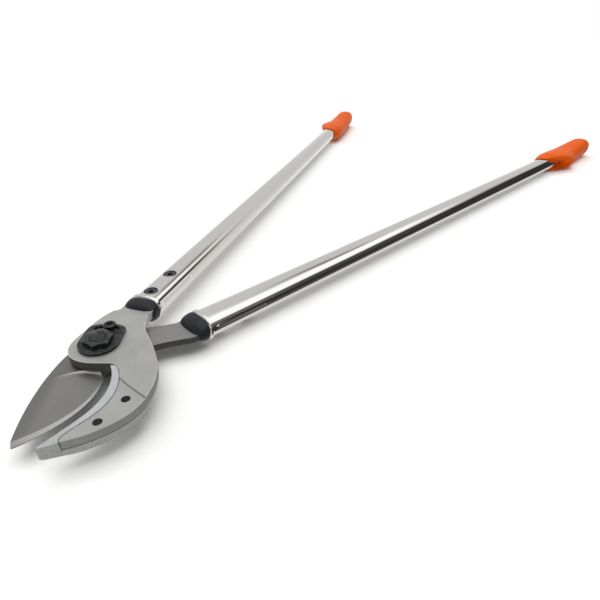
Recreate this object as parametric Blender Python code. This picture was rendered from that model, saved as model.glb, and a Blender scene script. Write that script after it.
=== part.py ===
"""A two-handed anvil lopper with a bolted head and oval aluminium handles.

The frame: metres, +Z up, the pivot axis is the Z axis, the handles point along +Y and the
anvil is on the +X side. The tool lies flat, and z = 0 is the underside of the pivot bolt.
Two levers turn on each other about the pivot. The anvil lever holds the carrier plate, the
anvil, the bolt set and the left handle. The blade lever holds the blade and the right handle.
"""

import math

import bmesh
import bpy
from mathutils import Matrix, Vector

# Clearances
SEAT = 0.0003             # left between two pieces that touch
RUN = 0.0006              # between the blade and the carrier, which slide on each other
BORE_PLAY = 0.0002        # round the bolt and the bush

# Pivot stack, from the floor up
BOLT_D = 0.010
BOLT_HEAD_AF = 0.017
BOLT_HEAD_H = 0.0072
BOLT_FLANGE_D = 0.026
BOLT_FLANGE_H = 0.0030
BUSH_D = 0.014
WASHER_D = 0.030
WASHER_T = 0.0010
BLADE_T = 0.0050
CARRIER_T = 0.0065
LOCK_PLATE_T = 0.0020
NUT_AF = 0.017
NUT_H = 0.0036
NUT_TURN = -2.0           # degrees, where the tightened hexagon stopped
CAP_GROOVE_W = 0.0008
CAP_GROOVE_D = 0.0006

# Lock plate, a fan shape round the pivot with a slot for the lock screw
LOCK_PLATE_R = 0.0133
LOCK_ARM_R = 0.0209
LOCK_ARM_SPAN = 64.0      # degrees between the arm's two corners
LOCK_ARM_AT = 120.0       # direction of the arm
LOCK_CORNER_R = 0.0035
LOCK_SLOT_R = 0.0159
LOCK_SLOT_W = 0.0052
LOCK_SLOT_SPAN = 46.0
LOCK_SCREW_AT = 112.5     # where the screw stands in the slot
LOCK_SCREW_D = 0.0050
LOCK_SCREW_HEAD_D = 0.0085
LOCK_SCREW_HEAD_H = 0.0030
LOCK_SCREW_HEX = 0.0040
LOCK_SCREW_REACH = 0.0048  # of the shank below the carrier's top

# Carrier details
JAW_STEP = 0.0008         # the jaw's face lies this much below the carrier's face
TANG_STEP = 0.0007        # and the tang's face this much
TANG_STEP_AHEAD = 0.0040  # where the tang steps down, ahead of the collar
EDGE_BREAK = 0.0005

# Anvil
ANVIL_RIB = 0.0040        # width of the rib that takes the blade's edge
ANVIL_PROUD = 0.0005      # the rib stands this much over the jaw's face
ANVIL_FLANGE_T = 0.0044
ANVIL_DRAFT = 0.0004
ANVIL_SCREW_D = 0.0050
ANVIL_SCREW_HEAD_D = 0.0096
ANVIL_SCREW_HEX = 0.0030
ANVIL_SCREWS = ((0.0536, -0.0264), (0.0541, -0.0463))
TIP_LIFT = 0.0026         # the flange's underside rises this much towards the tip
TIP_LIFT_RUN = 0.0130

# Blade
GRIND_DEPTH = 0.0017      # taken off each face along the heel of the cutting edge
GRIND_RADIUS = 0.0050     # of the hollow where the grind starts
BEVEL_HEEL_W = 0.0007     # of the bright bevel along the edge, at the heel
BEVEL_TIP_W = 0.0022      # and at the tip
CLOSING = 15.5            # degrees from the pose that is drawn to the blade on the anvil
EDGE_FLAT = 0.0003

# Handles, one oval tube for each lever
LEFT_ANGLE = 14.5         # degrees from +Y
RIGHT_ANGLE = 15.1
LEFT_OFFSET = -0.0004       # of the handle's axis from the pivot
RIGHT_OFFSET = 0.0159
LEFT_TUBE_Z = 0.0176      # height of the handle's axis
RIGHT_TUBE_Z = 0.0134
HANDLE_REACH = 0.8340     # from the tube's near end to the end of the grip
TUBE_W = 0.0240
TUBE_H = 0.0180
TUBE_FAR_SHARE = 0.93     # the tube tapers to this share of its section
TUBE_WALL = 0.0018
TUBE_INSIDE_END = 0.0150  # from the tube's far end to the end of the grip
SQUARENESS = 2.6          # exponent of the oval, where 2 is an ellipse
# The tube's rounded mouth: how far back from its end, and how far outwards.
TUBE_LIP = ((0.0, 0.0002), (0.0008, 0.0008), (0.0018, 0.0011), (0.0028, 0.0012), (0.0034, 0.0))
LEFT_COLLAR = 0.0537      # from the pivot to the end of the tube
RIGHT_COLLAR = 0.0667
CRIMP_START = 0.0065      # from the tube's end
CRIMP_LENGTH = 0.0500
CRIMP_RADIUS = 0.0035
CRIMP_DEPTH = 0.0008
LEFT_CRIMP_LIFT = 0.0030  # of the crimped groove's line over the handle's axis
RIGHT_CRIMP_LIFT = 0.0016

# Tangs inside the tubes
TANG_W = 0.0238           # where it enters the collar
TANG_RUN = 0.0010         # it runs straight this far ahead of the collar
TANG_NARROW_W = 0.0168
TANG_SHOULDER = 0.0060    # from the collar's nose to the shoulder
TANG_INSIDE = 0.0495      # from the tube's end to the tang's end
TANG_SCREWS = (0.0115, 0.0407)  # from the tube's end
TANG_SCREW_D = 0.0060
TANG_SCREW_HEAD_D = 0.0105
TANG_SCREW_HEAD_H = 0.0040
TANG_SCREW_HEX = 0.0040

# Collars
COLLAR_NOSE = 0.0113      # from the tube's end to the nose
COLLAR_SIDE_LIP = 0.0014  # the collar stands this much over the tube's flanks
COLLAR_TOP_LIP = 0.0002   # and over its top
COLLAR_FLAT = 0.0008      # length of its widest part
COLLAR_SQUARENESS = 4.0   # of the nose in plan
COLLAR_SLEEVE = 0.0525    # length of the sleeve inside the tube

# Grips
GRIP_LENGTH = 0.1900
GRIP_LIP = 0.0009         # thickness of the front edge
GRIP_SCALLOP = 0.0500     # the front edge lies this much further back on the outer flank
GRIP_SCALLOP_TURN = 16.0   # degrees, the scallop's deepest point under the middle of the flank
GRIP_SCALLOP_POWER = 3.6
GRIP_RIM_AT = 0.0340      # from the front edge to the raised rim, on the inner flank
GRIP_RIM_BACK = 0.0330    # the rim lies this much further back on the outer flank
GRIP_RIM_W = 0.0462
GRIP_RIM_H = 0.0266
GRIP_RIM_UP = 0.0001      # so that the right grip lies on the floor
GRIP_RIM_OUT = 0.0039     # and this much away from the other handle
GRIP_WAIST_AT = 0.0970    # from the front edge
GRIP_WAIST_W = 0.0380
GRIP_WAIST_H = 0.0245
GRIP_WAIST_UP = -0.0004
GRIP_BULB_AT = 0.1700
GRIP_BULB_W = 0.0315
GRIP_BULB_H = 0.0290
GRIP_BULB_UP = 0.0014
GRIP_SQUARENESS = 2.5
LEFT_GRIP_DROP = 0.0020   # the left grip's outside lies this much lower, nearer to the floor

ROUND = 40                # points round a turned or lofted section


# Levels that follow from the stack
BLADE_Z0 = BOLT_HEAD_H + BOLT_FLANGE_H + SEAT
BLADE_Z1 = BLADE_Z0 + BLADE_T
BLADE_MID = (BLADE_Z0 + BLADE_Z1) / 2
CARRIER_Z0 = BLADE_Z1 + RUN
CARRIER_Z1 = CARRIER_Z0 + CARRIER_T
JAW_Z = CARRIER_Z1 - JAW_STEP
LOCK_Z0 = CARRIER_Z1 + SEAT
LOCK_Z1 = LOCK_Z0 + LOCK_PLATE_T
NUT_Z0 = LOCK_Z1 + SEAT
NUT_Z1 = NUT_Z0 + NUT_H
FLANGE_Z1 = CARRIER_Z0 - SEAT
FLANGE_Z0 = FLANGE_Z1 - ANVIL_FLANGE_T


# Plan outlines: points, arcs and cubic curves
def polar(radius, degrees, centre=(0.0, 0.0)):
    angle = math.radians(degrees)
    return (centre[0] + radius * math.cos(angle), centre[1] + radius * math.sin(angle))


def arc(radius, start, end, steps, centre=(0.0, 0.0)):
    return [polar(radius, start + (end - start) * i / steps, centre) for i in range(steps + 1)]


def curve(start, pull, push, end, steps=12):
    """Points on a cubic curve, without its start."""
    points = []
    for i in range(1, steps + 1):
        t = i / steps
        weights = ((1 - t) ** 3, 3 * t * (1 - t) ** 2, 3 * t * t * (1 - t), t ** 3)
        corners = (start, pull, push, end)
        points.append(tuple(sum(w * c[k] for w, c in zip(weights, corners)) for k in (0, 1)))
    return points


def path(start, *steps):
    """An outline from points and from curves given as (pull, push, end) or (pull, push, end, steps)."""
    points = [start]
    for step in steps:
        if isinstance(step[0], tuple):
            points += curve(points[-1], *step)
        else:
            points.append(step)
    return points


def offset(points, distance):
    """The open line moved sideways, to its left where distance is positive."""
    moved = []
    for i, point in enumerate(points):
        before = points[max(i - 1, 0)]
        after = points[min(i + 1, len(points) - 1)]
        along = Vector((after[0] - before[0], after[1] - before[1])).normalized()
        moved.append((point[0] - along.y * distance, point[1] + along.x * distance))
    return moved


class Handle:
    """One handle's own frame: x across it, y along it from the pivot, z up from its axis."""

    def __init__(self, side, angle, sideways, height, collar, crimp_lift):
        self.side = side
        self.matrix = (
            Matrix.Rotation(math.radians(-side * angle), 4, "Z")
            @ Matrix.Translation((sideways, 0, height))
        )
        self.height = height
        self.collar = collar
        self.crimp_lift = crimp_lift
        self.nose = collar - COLLAR_NOSE
        self.end = collar + HANDLE_REACH
        self.tube_end = self.end - TUBE_INSIDE_END

    def plan(self, across, along):
        point = self.matrix @ Vector((across, along, 0))
        return (point.x, point.y)

    def share(self, along):
        """The tube's section here, as a share of its section at the collar."""
        reach = (along - self.collar) / (self.tube_end - self.collar)
        return 1 + (TUBE_FAR_SHARE - 1) * reach


LEFT = Handle(-1, LEFT_ANGLE, LEFT_OFFSET, LEFT_TUBE_Z, LEFT_COLLAR, LEFT_CRIMP_LIFT)
RIGHT = Handle(1, RIGHT_ANGLE, RIGHT_OFFSET, RIGHT_TUBE_Z, RIGHT_COLLAR, RIGHT_CRIMP_LIFT)


# Blender helpers
def clear_scene():
    for obj in list(bpy.data.objects):
        bpy.data.objects.remove(obj, do_unlink=True)


def material(name, colour, roughness, metallic):
    made = bpy.data.materials.new(name)
    made.use_nodes = True
    shader = made.node_tree.nodes["Principled BSDF"]
    shader.inputs["Base Color"].default_value = (*colour, 1)
    shader.inputs["Roughness"].default_value = roughness
    shader.inputs["Metallic"].default_value = metallic
    return made


def new_object(name, bm, frame=None):
    """A mesh object from bm, in world space or in a handle's frame, with its faces turned outwards."""
    bmesh.ops.recalc_face_normals(bm, faces=bm.faces)
    mesh = bpy.data.meshes.new(name)
    bm.to_mesh(mesh)
    bm.free()
    obj = bpy.data.objects.new(name, mesh)
    bpy.context.scene.collection.objects.link(obj)
    if frame:
        obj.matrix_world = frame.matrix
    return obj


def finish(obj, look, parent, smooth=35):
    """Gives the piece its material and its lever, and shades its round faces smooth."""
    obj.data.materials.append(look)
    world = obj.matrix_world.copy()
    obj.parent = parent
    obj.matrix_world = world
    for face in obj.data.polygons:
        face.use_smooth = True
    obj.data.set_sharp_from_angle(angle=math.radians(smooth))
    return obj


def loft(name, rings, frame=None):
    """A closed solid through rings of 3D points, each with the same number of points."""
    bm = bmesh.new()
    rows = [[bm.verts.new(point) for point in ring] for ring in rings]
    for lower, upper in zip(rows, rows[1:]):
        for i in range(len(lower)):
            j = (i + 1) % len(lower)
            bm.faces.new((lower[i], lower[j], upper[j], upper[i]))
    bm.faces.new(rows[0])
    bm.faces.new(rows[-1])
    return new_object(name, bm, frame)


def prism(name, outline, low, high, frame=None):
    """The outline drawn up from low to high. Either can be a function of a point (x, y)."""
    rings = []
    for level in (low, high):
        rings.append([(x, y, level(x, y) if callable(level) else level) for x, y in outline])
    return loft(name, rings, frame)


def turned(name, profile, centre=(0, 0), frame=None, steps=ROUND, turn=0.0):
    """A solid of revolution about a vertical line, from (radius, z) pairs on a profile."""
    rings = []
    for radius, z in profile:
        rings.append([
            (centre[0] + radius * math.cos(a), centre[1] + radius * math.sin(a), z)
            for a in (2 * math.pi * i / steps + math.radians(turn) for i in range(steps))
        ])
    return loft(name, rings, frame)


def hexagon(name, across_flats, low, high, centre=(0, 0), turn=0.0, frame=None):
    corner = across_flats / math.sqrt(3)
    return turned(name, [(corner, low), (corner, high)], centre, frame, steps=6, turn=turn)


def bevel(obj, width, segments=1, angle=40):
    """Breaks the piece's sharp edges."""
    added = obj.modifiers.new("edges", "BEVEL")
    added.width = width
    added.segments = segments
    added.limit_method = "ANGLE"
    added.angle_limit = math.radians(angle)
    return obj


def boolean(obj, operation, *others):
    """Cuts the other shapes from obj, or joins them to it, and hides them as helpers."""
    for other in others:
        added = obj.modifiers.new(other.name, "BOOLEAN")
        added.operation = operation
        added.object = other
        other.hide_render = True
        other.display_type = "WIRE"
    return obj


def cut(obj, *cutters):
    return boolean(obj, "DIFFERENCE", *cutters)


def join(obj, *others):
    return boolean(obj, "UNION", *others)


# Plan curves that two pieces share
ANVIL_FACE = path(
    (0.0227, -0.0107),
    ((0.0371, -0.0191), (0.0441, -0.0326), (0.0439, -0.0481), 16),
    ((0.0437, -0.0571), (0.0427, -0.0661), (0.0420, -0.0744), 8),
)
RIB_BACK = path(
    (0.0249, -0.0091),
    ((0.0281, -0.0094), (0.0321, -0.0117), (0.0356, -0.0153), 5),
    ((0.0436, -0.0221), (0.0487, -0.0331), (0.0480, -0.0431), 12),
    ((0.0477, -0.0511), (0.0463, -0.0561), (0.0463, -0.0616), 8),
    ((0.0463, -0.0638), (0.0470, -0.0654), (0.0486, -0.0658), 5),
)
JAW_BACK = path(
    (0.0490, -0.0654),
    ((0.0566, -0.0566), (0.0637, -0.0441), (0.0643, -0.0306), 14),
    ((0.0646, -0.0181), (0.0571, -0.0051), (0.0491, 0.0029), 12),
)
EDGE_CURVE = ((0.0134, -0.0097), (0.0336, -0.0251), (0.0336, -0.0531), (0.0223, -0.0776))
CUTTING_EDGE = [EDGE_CURVE[0]] + curve(*EDGE_CURVE, 26)
SPINE = path(
    (0.0223, -0.0776),
    ((0.0084, -0.0633), (-0.0098, -0.0383), (-0.0171, -0.0131), 16),
)


def turn_about_pivot(point, degrees):
    turned_to = Matrix.Rotation(math.radians(degrees), 2) @ Vector(point)
    return (turned_to.x, turned_to.y)


def tang_outline(handle):
    """The tang's end in plan, from its -x side round to its +x side."""
    shoulder = handle.nose + TANG_SHOULDER
    end = handle.collar + TANG_INSIDE
    wide = TANG_W / 2
    narrow = TANG_NARROW_W / 2
    corners = (
        (-wide, handle.nose - TANG_RUN),
        (-wide, shoulder),
        (-narrow, shoulder),
        (-narrow, end),
        (narrow, end),
        (narrow, shoulder),
        (wide, shoulder),
        (wide, handle.nose - TANG_RUN),
    )
    return [handle.plan(*corner) for corner in corners]


# Anvil lever: the carrier and the anvil
def make_carrier(look, lever):
    tang = tang_outline(LEFT)
    mouth = offset(RIB_BACK, SEAT)
    outline = path(
        tang[-1],
        ((0.0021, 0.0409), (0.0071, 0.0314), (0.0141, 0.0269)),
        ((0.0241, 0.0212), (0.0401, 0.0124), JAW_BACK[-1]),
    )
    outline += JAW_BACK[-2::-1]
    outline += mouth[::-1]
    outline += path(
        mouth[0],
        ((0.0191, -0.0089), (0.0111, -0.0191), (-0.0009, -0.0191)),
        ((-0.0099, -0.0191), (-0.0172, -0.0121), (-0.0190, -0.0021), 8),
        ((-0.0210, 0.0059), (-0.0245, 0.0159), (-0.0246, 0.0259), 8),
        ((-0.0246, 0.0319), (-0.0240, 0.0360), tang[0], 5),
    )[1:]
    outline += tang[1:-1]
    plate = bevel(prism("carrier", outline, CARRIER_Z0, CARRIER_Z1), EDGE_BREAK)
    high = CARRIER_Z1 + 0.01
    crease = path((0.0321, -0.0139), ((0.0391, -0.0171), (0.0491, -0.0183), (0.0691, -0.0206), 6))
    jaw = crease + [(0.0900, -0.0211), (0.0900, -0.0900), (0.0321, -0.0900)]
    jaw_cut = bevel(prism("carrier_jaw_cut", jaw, JAW_Z, high), JAW_STEP * 0.9)
    step = LEFT.nose - TANG_STEP_AHEAD
    tang_box = [(-0.03, step), (0.03, step), (0.03, 0.2), (-0.03, 0.2)]
    top = CARRIER_Z1 - TANG_STEP - LEFT.height
    tang_cut = prism("carrier_tang_cut", tang_box, top, top + 0.01, LEFT)
    holes = [
        turned("carrier_bore", [(BOLT_D / 2 + BORE_PLAY, 0), (BOLT_D / 2 + BORE_PLAY, high)]),
        turned("carrier_washer_recess", [
            (WASHER_D / 2 + SEAT, CARRIER_Z0 - 0.001),
            (WASHER_D / 2 + SEAT, WASHER_Z1 + SEAT),
        ]),
    ]
    screw = polar(LOCK_SLOT_R, LOCK_SCREW_AT)
    radius = LOCK_SCREW_D / 2 + BORE_PLAY
    holes.append(turned("carrier_lock_hole", [
        (radius, CARRIER_Z1 - LOCK_SCREW_REACH - SEAT), (radius, high)
    ], screw, steps=24))
    for i, place in enumerate(ANVIL_SCREWS):
        radius = ANVIL_SCREW_D / 2 + BORE_PLAY
        holes.append(turned(f"carrier_anvil_hole_{i}", [(radius, 0), (radius, high)], place, steps=24))
    for i, place in enumerate(TANG_SCREWS):
        radius = TANG_SCREW_D / 2 + BORE_PLAY
        where = (0, LEFT.collar + place)
        holes.append(turned(f"carrier_tang_hole_{i}", [(radius, -0.02), (radius, 0.02)], where, LEFT, 24))
    cut(plate, jaw_cut, tang_cut, *holes)
    return finish(plate, look, lever)


WASHER_Z0 = BLADE_Z1 + SEAT
WASHER_Z1 = WASHER_Z0 + WASHER_T


def make_anvil(look, lever):
    """The rib beside the jaw and the flange under it, cast as one piece."""
    tip = ((0.0426, -0.0745), (0.0444, -0.0733), (0.0463, -0.0703))
    back = offset(JAW_BACK, -ANVIL_DRAFT)
    start = (0.0326, -0.0129)
    outer = [point for point in back if point[1] < -0.0206]
    flange = offset(ANVIL_FACE[3:] + list(tip), 0.0002) + outer + [start]
    rib = ANVIL_FACE + list(tip) + [(0.0489, -0.0664)] + RIB_BACK[::-1]
    rise = TIP_LIFT / TIP_LIFT_RUN
    tip_y = tip[0][1]
    base = bevel(prism("anvil", flange, FLANGE_Z0, FLANGE_Z1), 0.0005, 2)
    upright = bevel(prism("anvil_rib", rib, FLANGE_Z0 + 0.0004, JAW_Z + ANVIL_PROUD), 0.0003)
    join(base, upright)
    lift = prism(
        "anvil_tip_cut",
        [(0.02, tip_y - 0.01), (0.08, tip_y - 0.01), (0.08, tip_y + TIP_LIFT_RUN), (0.02, tip_y + TIP_LIFT_RUN)],
        FLANGE_Z0 - 0.01,
        lambda x, y: FLANGE_Z0 + TIP_LIFT - rise * (y - tip_y) - 0.0001,
    )
    closed = [turn_about_pivot(point, CLOSING) for point in CUTTING_EDGE]
    reached = offset(closed, SEAT)
    relief = prism("anvil_relief", reached + [(0.0200, -0.0900), (0.0100, -0.0050)], FLANGE_Z0 - 0.01, FLANGE_Z1)
    cut(base, lift, relief)
    for i, place in enumerate(ANVIL_SCREWS):
        head = ANVIL_SCREW_HEAD_D / 2 + BORE_PLAY
        shank = ANVIL_SCREW_D / 2 + BORE_PLAY
        cone = head - shank
        cut(base, turned(f"anvil_hole_{i}", [
            (head, FLANGE_Z0 - 0.001),
            (head, FLANGE_Z0 + 0.0006),
            (shank, FLANGE_Z0 + 0.0006 + cone),
            (shank, FLANGE_Z1 + 0.001),
        ], place, steps=32))
    return finish(base, look, lever)


def make_anvil_screw(number, place, look, lever):
    """A countersunk screw from below, whose end is flush with the jaw's face."""
    head = ANVIL_SCREW_HEAD_D / 2
    shank = ANVIL_SCREW_D / 2
    low = FLANGE_Z0 + 0.0004
    body = turned(f"anvil_screw_{number}", [
        (head, low),
        (head, low + 0.0003),
        (shank, low + 0.0003 + head - shank),
        (shank, JAW_Z - 0.0003),
        (shank - 0.0003, JAW_Z),
    ], place, steps=32)
    cut(body, hexagon(f"anvil_socket_{number}", ANVIL_SCREW_HEX, low - 0.001, low + 0.0022, place))
    return finish(body, look, lever)


# Pivot set
def make_pivot_bolt(look, lever):
    """A hexagon head with a flange under the blade, and a shank that ends flush with the nut."""
    flange_z = BOLT_HEAD_H
    radius = BOLT_D / 2
    ring = radius - CAP_GROOVE_W
    body = turned("pivot_bolt", [
        (BOLT_HEAD_AF / 2 - 0.001, flange_z - 0.001),
        (BOLT_FLANGE_D / 2 - 0.0006, flange_z),
        (BOLT_FLANGE_D / 2, flange_z + 0.0006),
        (BOLT_FLANGE_D / 2, flange_z + BOLT_FLANGE_H),
        (radius, flange_z + BOLT_FLANGE_H + 0.00001),
        (radius, NUT_Z1 - 0.0004),
        (radius - 0.0004, NUT_Z1),
    ])
    head = bevel(hexagon("pivot_bolt_head", BOLT_HEAD_AF, 0, flange_z + 0.0005), 0.0005)
    join(body, head)
    return finish(body, look, lever)


def make_pivot_bush(look, lever):
    """A hard sleeve on the bolt, which the blade's bore turns on."""
    outer = BUSH_D / 2
    inner = BOLT_D / 2 + BORE_PLAY
    low = BLADE_Z0 + SEAT
    high = WASHER_Z1
    body = turned("pivot_bush", [(outer, low), (outer, high)])
    cut(body, turned("bush_bore", [(inner, low - 0.001), (inner, high + 0.001)]))
    return finish(body, look, lever)


def make_thrust_washer(look, lever):
    """A thin washer in the carrier's recess, which the blade's face slides on."""
    inner = BUSH_D / 2 + SEAT
    body = turned("thrust_washer", [(WASHER_D / 2, WASHER_Z0), (WASHER_D / 2, WASHER_Z1)])
    cut(body, turned("washer_bore", [(inner, WASHER_Z0 - 0.001), (inner, WASHER_Z1 + 0.001)]))
    return finish(body, look, lever)


def make_lock_plate(look, lever):
    half = LOCK_ARM_SPAN / 2
    corner_at = LOCK_ARM_R - LOCK_CORNER_R
    lean = math.degrees(math.acos((LOCK_PLATE_R - LOCK_CORNER_R) / corner_at))
    first, last = LOCK_ARM_AT - half, LOCK_ARM_AT + half
    outline = arc(LOCK_PLATE_R, last + lean, first - lean + 360, 24)
    outline += arc(LOCK_CORNER_R, first - lean, first, 6, polar(corner_at, first))
    outline += arc(LOCK_ARM_R, first, last, 12)[1:-1]
    outline += arc(LOCK_CORNER_R, last, last + lean, 6, polar(corner_at, last))
    plate = bevel(prism("lock_plate", outline, LOCK_Z0, LOCK_Z1), 0.0003, 2)
    bore = BOLT_D / 2 + BORE_PLAY
    start, end = LOCK_ARM_AT - LOCK_SLOT_SPAN / 2, LOCK_ARM_AT + LOCK_SLOT_SPAN / 2
    slot = arc(LOCK_SLOT_R + LOCK_SLOT_W / 2, start, end, 12)
    slot += arc(LOCK_SLOT_W / 2, end, end + 180, 8, polar(LOCK_SLOT_R, end))[1:-1]
    slot += arc(LOCK_SLOT_R - LOCK_SLOT_W / 2, end, start, 12)
    slot += arc(LOCK_SLOT_W / 2, start + 180, start + 360, 8, polar(LOCK_SLOT_R, start))[1:-1]
    low, high = LOCK_Z0 - 0.001, LOCK_Z1 + 0.001
    cut(plate, turned("lock_plate_bore", [(bore, low), (bore, high)]), prism("lock_slot", slot, low, high))
    return finish(plate, look, lever)


def make_pivot_nut(look, lever):
    nut = hexagon("pivot_nut", NUT_AF, NUT_Z0, NUT_Z1, turn=NUT_TURN)
    corner = NUT_AF / math.sqrt(3)
    crown = turned("nut_crown", [
        (corner + 0.0002, NUT_Z0 - 0.001),
        (corner + 0.0002, NUT_Z1 - 0.0008),
        (NUT_AF / 2 - 0.0002, NUT_Z1),
        (NUT_AF / 2 - 0.0002, NUT_Z1 + 0.00001),
    ])
    added = nut.modifiers.new("crown", "BOOLEAN")
    added.operation = "INTERSECT"
    added.object = crown
    crown.hide_render = True
    crown.display_type = "WIRE"
    bore = BOLT_D / 2 + BORE_PLAY
    cut(nut, turned("nut_bore", [
        (bore, NUT_Z0 - 0.002), (bore, NUT_Z1 - CAP_GROOVE_D), (bore + CAP_GROOVE_D, NUT_Z1 + 0.0001)
    ]))
    return finish(nut, look, lever)


def make_lock_screw(look, lever):
    """A low socket screw that clamps the lock plate in its slot."""
    place = polar(LOCK_SLOT_R, LOCK_SCREW_AT)
    low = LOCK_Z1 + SEAT
    head = LOCK_SCREW_HEAD_D / 2
    shank = LOCK_SCREW_D / 2
    top = low + LOCK_SCREW_HEAD_H
    body = turned("lock_screw", [
        (shank, CARRIER_Z1 - LOCK_SCREW_REACH),
        (shank, low - 0.00001),
        (head, low),
        (head, top - 0.0006),
        (head - 0.0006, top),
    ], place, steps=32)
    cut(body, hexagon("lock_socket", LOCK_SCREW_HEX, top - 0.0018, top + 0.001, place, 12))
    return finish(body, look, lever)


# Blade lever
def grind_height(x, y):
    """How far the ground face lies under the blade's flat face, growing from the spine to the edge."""
    spine = Vector(SPINE[0])
    along = (Vector(SPINE[-4]) - spine).normalized()
    across = Vector((-along.y, along.x))
    if across.x < 0:
        across = -across
    heel = (Vector(CUTTING_EDGE[0]) - spine).dot(across)
    return GRIND_DEPTH * (Vector((x, y)) - spine).dot(across) / heel


def make_blade(look, lever):
    tang = tang_outline(RIGHT)
    hub = 0.0176
    outline = CUTTING_EDGE + SPINE[1:]
    outline += path(SPINE[-1], ((-0.0177, -0.0090), (-0.0176, -0.0050), (-hub, 0.0000), 4))[1:]
    outline += arc(hub, 180, 136, 5)[1:]
    outline += path(outline[-1], ((-0.0070, 0.0272), (0.0090, 0.0394), tang[0], 14))[1:]
    outline += tang[1:]
    outline += path(tang[-1], ((0.0351, 0.0369), (0.0211, 0.0269), (0.0168, 0.0059), 14))[1:]
    outline += path(outline[-1], ((0.0174, 0.0000), (0.0160, -0.0060), CUTTING_EDGE[0], 6))[1:-1]
    blade = prism("blade", outline, BLADE_Z0, BLADE_Z1)
    hollow = path(
        (-0.0125, -0.0440),
        ((-0.0062, -0.0235), (0.0023, -0.0140), (0.0173, -0.0111), 14),
        (0.0283, -0.0098),
        (0.0591, -0.0611),
        (0.0241, -0.1011),
    )
    far = 0.012
    top = prism("blade_grind_top", hollow, lambda x, y: BLADE_Z1 - grind_height(x, y), BLADE_Z1 + far)
    bottom = prism("blade_grind_bottom", hollow, BLADE_Z0 - far, lambda x, y: BLADE_Z0 + grind_height(x, y))
    for cutter in (top, bottom):
        bevel(cutter, GRIND_RADIUS, 5, 60)
    cut(blade, top, bottom)
    cut(blade, *edge_bevels())
    bore = BUSH_D / 2 + BORE_PLAY
    cut(blade, turned("blade_bore", [(bore, BLADE_Z0 - 0.001), (bore, BLADE_Z1 + 0.001)]))
    for i, place in enumerate(TANG_SCREWS):
        radius = TANG_SCREW_D / 2 + BORE_PLAY
        where = (0, RIGHT.collar + place)
        cut(blade, turned(f"blade_tang_hole_{i}", [(radius, -0.02), (radius, 0.02)], where, RIGHT, 24))
    return finish(blade, look, lever, 25)


def edge_bevels():
    """The two cutters that leave a bright bevel along the cutting edge, meeting at half thickness."""
    edge = curve(*EDGE_CURVE, 25)
    last = Vector(edge[-1])
    edge.append(tuple(last + (last - Vector(edge[-2]))))
    beyond = 0.0020
    outside = offset(edge, beyond)
    cutters = []
    for name, sign, face in (("blade_bevel_top", 1, BLADE_Z1), ("blade_bevel_bottom", -1, BLADE_Z0)):
        rings = []
        for i, (at, away) in enumerate(zip(edge, outside)):
            width = BEVEL_HEEL_W + (BEVEL_TIP_W - BEVEL_HEEL_W) * i / (len(edge) - 1)
            inner = offset(edge, -2 * width)[i]
            surface = face - sign * grind_height(*at)
            lip = BLADE_MID + sign * EDGE_FLAT / 2
            slope = (surface - lip) / width
            rings.append([
                (*inner, surface + slope * width),
                (*away, lip - slope * beyond),
                (*away, face + sign * 0.01),
                (*inner, face + sign * 0.01),
            ])
        cutters.append(loft(name, rings))
    return cutters


# Handles
def oval(half_w, half_h, along, squareness=SQUARENESS):
    """One superellipse ring across a handle."""
    ring = []
    power = 2 / squareness
    for i in range(ROUND):
        angle = 2 * math.pi * i / ROUND
        c, s = math.cos(angle), math.sin(angle)
        x = half_w * math.copysign(abs(c) ** power, c)
        z = half_h * math.copysign(abs(s) ** power, s)
        ring.append((x, along, z))
    return ring


def tube_ring(handle, along, grow=0.0):
    share = handle.share(along)
    return oval(TUBE_W / 2 * share + grow, TUBE_H / 2 * share + grow, along)


def capsule(name, radius, first, last, centre, frame, steps=12, rounds=4):
    """A rod with rounded ends along a handle, round the line through centre, which is (x, z)."""
    rings = []
    stations = [(first, -90 + 90 * i / rounds) for i in range(rounds + 1)]
    stations += [(last, 90 * i / rounds) for i in range(rounds + 1)]
    for end, degrees in stations:
        swing = math.radians(min(max(degrees, -89), 89))
        size = radius * math.cos(swing)
        along = end + radius * math.sin(swing)
        turns = (2 * math.pi * k / steps for k in range(steps))
        rings.append([(centre[0] + size * math.cos(a), along, centre[1] + size * math.sin(a)) for a in turns])
    return loft(name, rings, frame)


def flank(half_w, half_h, lift):
    """How far out the oval's flank is at this height over its axis, and its normal there."""
    share = abs(lift / half_h) ** SQUARENESS
    out = half_w * (1 - share) ** (1 / SQUARENESS)
    normal = Vector((
        (out / half_w) ** (SQUARENESS - 1) / half_w,
        (abs(lift) / half_h) ** (SQUARENESS - 1) / half_h,
    )).normalized()
    return Vector((out, lift)), normal


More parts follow.
